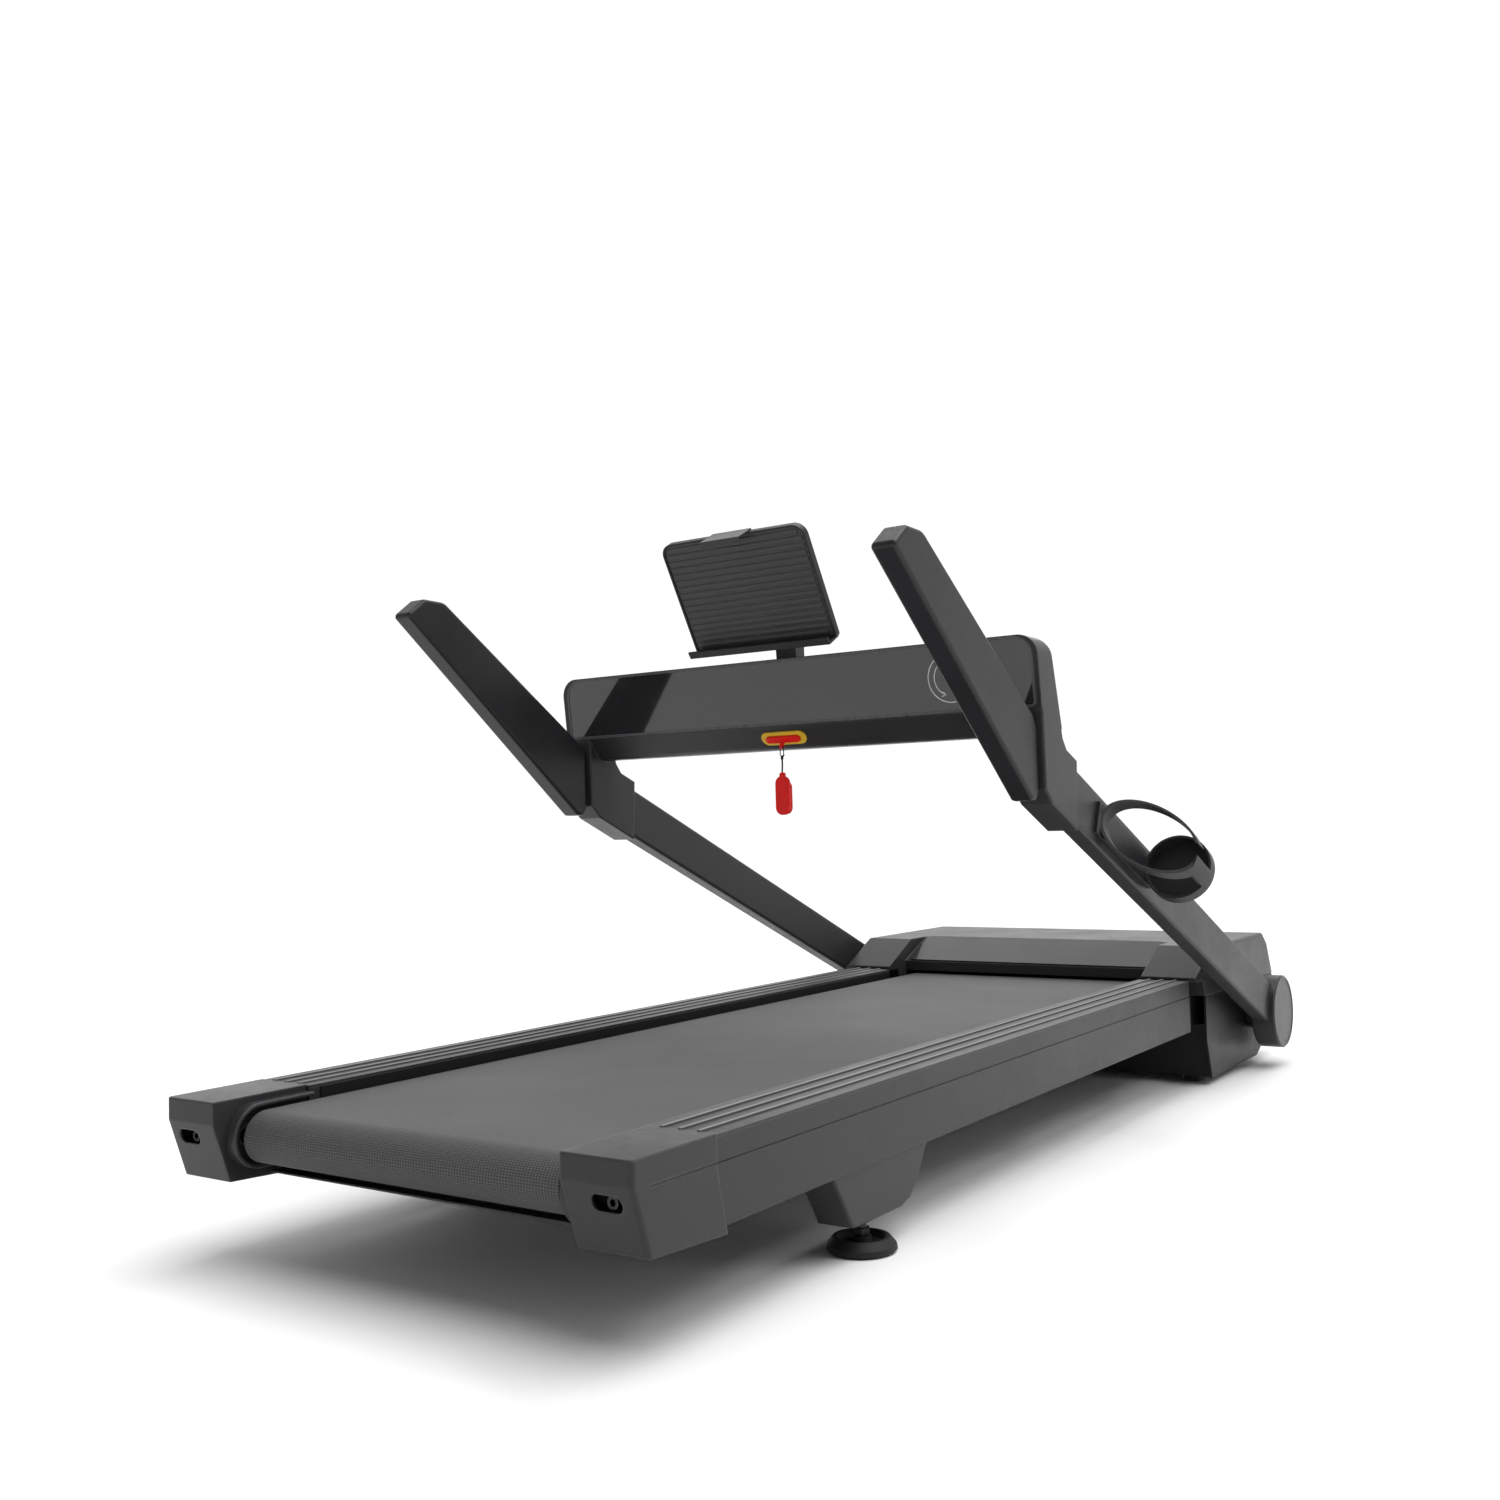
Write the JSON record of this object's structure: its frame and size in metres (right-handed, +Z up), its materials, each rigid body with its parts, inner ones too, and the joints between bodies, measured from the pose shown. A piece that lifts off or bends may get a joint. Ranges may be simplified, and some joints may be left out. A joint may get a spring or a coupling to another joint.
{
  "type": "treadmill",
  "caption": "Home treadmill with a motor hood, ribbed tablet rest, angled hand grips, bottle holder and safety key; its console frame swings down over the deck",
  "frame": {"origin": "middle of the bounding box on the floor under the machine", "axes": "+Y forwards to the motor hood (the way the user faces), +X to the user's right, +Z up"},
  "size_m": [0.907, 1.9934, 0.8803],
  "materials": {
    "rail_paint": "satin fine-texture powder coat",
    "foot_rail_plastic": "satin moulded plastic with light ridges",
    "shell_plastic": "fine matte moulded texture",
    "dark_plastic": "matte near-black",
    "hood_gloss": "polished",
    "belt_rubber": "fine woven emboss",
    "foot_rubber": "matte",
    "steel": "machined",
    "frame_steel": "black paint",
    "deck_wood": "waxed film",
    "motor_paint": "semi-gloss",
    "iron": "turned",
    "heat_sink": "extruded",
    "drive_rubber": "ribbed",
    "hub_paint": "satin with a bright chamfer",
    "glass_black": "black-backed gloss",
    "display_black": "smooth",
    "grip_plastic": "soft-touch",
    "mat_rubber": "ribbed soft pad",
    "clip_metal": "satin",
    "key_yellow": "satin",
    "key_red": "semi-gloss",
    "cord_black": "woven"
  },
  "bodies": {
    "frame": {"side_rail_right": "rail_paint", "side_rail_left": "rail_paint", "foot_rail_right": "foot_rail_plastic", "foot_rail_left": "foot_rail_plastic", "rear_cap_right": "shell_plastic", "rear_cap_left": "shell_plastic", "roller_collars": "shell_plastic", "roller_adjusters": "steel", "roller_axles": "steel", "running_belt": "belt_rubber", "deck_board": "deck_wood", "deck_cushions": "foot_rubber", "deck_crossbars": "frame_steel", "rear_guard": "frame_steel", "foot_bracket_right": "shell_plastic", "foot_bracket_left": "shell_plastic", "base_frame": "frame_steel", "hub_pins": "steel", "front_feet": "foot_rubber", "hood_cover": "shell_plastic", "hood_panel": "hood_gloss", "hood_skirt": "shell_plastic", "base_pan": "dark_plastic", "drive_motor": "motor_paint", "drive_belt": "drive_rubber", "motor_controller": "heat_sink", "power_inlet": "dark_plastic"},
    "front_roller": {"front_roller": "steel", "roller_pulley": "iron"},
    "rear_roller": {"rear_roller": "steel"},
    "motor_rotor": {"motor_pulley": "steel", "flywheel": "iron"},
    "swing_frame": {"hub_barrels": "hub_paint", "hub_caps": "hub_paint", "upright_right": "rail_paint", "upright_left": "rail_paint", "console_housing": "shell_plastic", "console_bezel": "display_black", "console_glass": "glass_black", "display_module": "display_black", "handle_right": "grip_plastic", "handle_left": "grip_plastic", "handle_cores": "frame_steel", "tablet_neck": "shell_plastic", "key_socket": "key_yellow", "bottle_holder": "dark_plastic"},
    "tablet_rest": {"tablet_plate": "dark_plastic", "tablet_mat": "mat_rubber"},
    "tablet_clip": {"tablet_clip": "clip_metal"},
    "safety_key": {"safety_key": "key_red"},
    "lanyard": {"key_cord": "cord_black", "garment_clip": "key_red"},
    "garment_jaw": {"garment_jaw": "key_red"},
    "foot_right": {"foot_stud_right": "steel", "foot_pad_right": "foot_rubber"},
    "foot_left": {"foot_stud_left": "steel", "foot_pad_left": "foot_rubber"},
    "wheel_right": {"transport_wheel_right": "foot_rubber"},
    "wheel_left": {"transport_wheel_left": "foot_rubber"},
    "power_switch": {"power_switch": "key_red"}
  },
  "joints": [
    {"name": "fold", "type": "hinge", "parent": "frame", "child": "swing_frame", "pos_m": [-0.0455, 0.82132, 0.101], "axis": [-1, 0, 0], "range_deg": [-13, 37]},
    {"name": "front_roller_spin", "type": "hinge", "parent": "frame", "child": "front_roller", "pos_m": [-0.0455, 0.61832, 0.1441], "axis": [1, 0, 0], "continuous": true},
    {"name": "rear_roller_spin", "type": "hinge", "parent": "frame", "child": "rear_roller", "pos_m": [-0.0455, -0.94468, 0.1441], "axis": [1, 0, 0], "continuous": true},
    {"name": "motor_spin", "type": "hinge", "parent": "frame", "child": "motor_rotor", "pos_m": [-0.0455, 0.77532, 0.118], "axis": [1, 0, 0], "continuous": true},
    {"name": "tablet_tilt", "type": "hinge", "parent": "swing_frame", "child": "tablet_rest", "pos_m": [-0.0455, -0.26918, 0.7765], "axis": [1, 0, 0], "range_deg": [-15, 10]},
    {"name": "tablet_clip_slide", "type": "slide", "parent": "tablet_rest", "child": "tablet_clip", "axis": [0, -0.5, 0.866], "range_m": [0, 0.04], "stiffness_N_per_m": 60},
    {"name": "key_pull", "type": "slide", "parent": "swing_frame", "child": "safety_key", "axis": [0, -0.7971, -0.6039], "range_m": [0, 0.012]},
    {"name": "lanyard_swing", "type": "hinge", "parent": "safety_key", "child": "lanyard", "pos_m": [-0.0455, -0.22968, 0.585], "axis": [1, 0, 0], "range_deg": [-80, 55]},
    {"name": "garment_jaw_squeeze", "type": "hinge", "parent": "lanyard", "child": "garment_jaw", "pos_m": [-0.0455, -0.22448, 0.518], "axis": [1, 0, 0], "range_deg": [0, 7], "stiffness_Nm_per_rad": 0.05},
    {"name": "foot_right_screw", "type": "slide", "parent": "frame", "child": "foot_right", "axis": [0, 0, 1], "range_m": [-0.01, 0.01]},
    {"name": "foot_left_screw", "type": "slide", "parent": "frame", "child": "foot_left", "axis": [0, 0, 1], "range_m": [-0.01, 0.01]},
    {"name": "wheel_right_spin", "type": "hinge", "parent": "frame", "child": "wheel_right", "pos_m": [0.2465, 0.91532, 0.05], "axis": [1, 0, 0], "continuous": true},
    {"name": "wheel_left_spin", "type": "hinge", "parent": "frame", "child": "wheel_left", "pos_m": [-0.3375, 0.91532, 0.05], "axis": [1, 0, 0], "continuous": true},
    {"name": "power_rocker", "type": "hinge", "parent": "frame", "child": "power_switch", "pos_m": [-0.2155, 0.98332, 0.102], "axis": [0, 0, 1], "range_deg": [-14, 0]}
  ],
  "couplings": [
    {"joint": "rear_roller_spin", "follows": "front_roller_spin", "ratio": 1},
    {"joint": "motor_spin", "follows": "front_roller_spin", "ratio": 2.8333}
  ]
}
